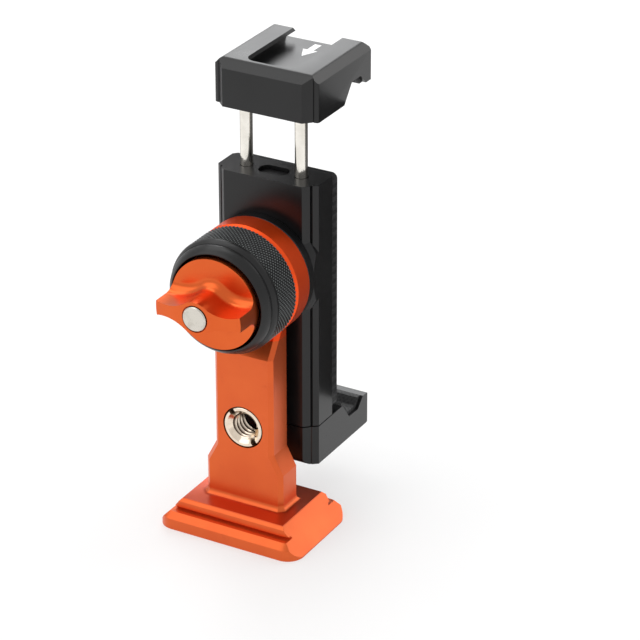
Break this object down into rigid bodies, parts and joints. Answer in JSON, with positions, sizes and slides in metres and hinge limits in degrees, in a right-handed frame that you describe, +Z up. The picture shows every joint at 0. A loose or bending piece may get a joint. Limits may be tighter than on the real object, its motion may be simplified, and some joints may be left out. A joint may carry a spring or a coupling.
{
  "type": "tripod phone mount adapter",
  "caption": "Phone clamp for a tripod: dovetail foot and upright carry a swivelling clamp body with a sliding V jaw on guide rods, a knurled locking ring and a wing knob.",
  "frame": {"origin": "centre of the foot's underside, on the axis of the base thread", "axes": "+Z up along the upright, +Y from the knob side towards the phone, +X across the clamp"},
  "size_m": [0.038, 0.0583, 0.1132],
  "materials": {
    "black_anodised": "satin black anodised",
    "orange_anodised": "satin orange anodised",
    "stainless_steel": "turned",
    "polished_steel": "polished",
    "rubber": "matte, ribbed",
    "black_plastic": "matte"
  },
  "bodies": {
    "base": {"foot_upright": "orange_anodised", "thread_bush": "stainless_steel", "base_bush": "stainless_steel"},
    "clamp": {"clamp_body": "black_anodised", "swivel_disc": "black_anodised", "pivot_sleeve": "stainless_steel", "brake_bar": "stainless_steel", "slot_plug": "black_plastic", "back_pad": "rubber", "lower_jaw": "black_anodised", "lower_jaw_pad": "rubber", "jaw_screws": "stainless_steel"},
    "jaw": {"upper_jaw": "black_anodised", "guide_rod_left": "polished_steel", "guide_rod_right": "polished_steel", "upper_jaw_pad": "rubber"},
    "ring": {"knurled_ring": "black_anodised"},
    "knob": {"wing_knob": "orange_anodised", "lock_screw": "stainless_steel", "knob_cap": "stainless_steel"}
  },
  "joints": [
    {"name": "clamp_swivel", "type": "hinge", "parent": "base", "child": "clamp", "pos_m": [0, 0, 0.0641], "axis": [0, 1, 0], "range_deg": [-135, 135]},
    {"name": "jaw_slide", "type": "slide", "parent": "clamp", "child": "jaw", "axis": [0, 0, 1], "range_m": [-0.0148, 0.011]},
    {"name": "ring_turn", "type": "hinge", "parent": "clamp", "child": "ring", "pos_m": [0, 0, 0.0641], "axis": [0, 1, 0], "continuous": true},
    {"name": "knob_turn", "type": "hinge", "parent": "clamp", "child": "knob", "pos_m": [0, 0, 0.0641], "axis": [0, 1, 0], "continuous": true}
  ]
}
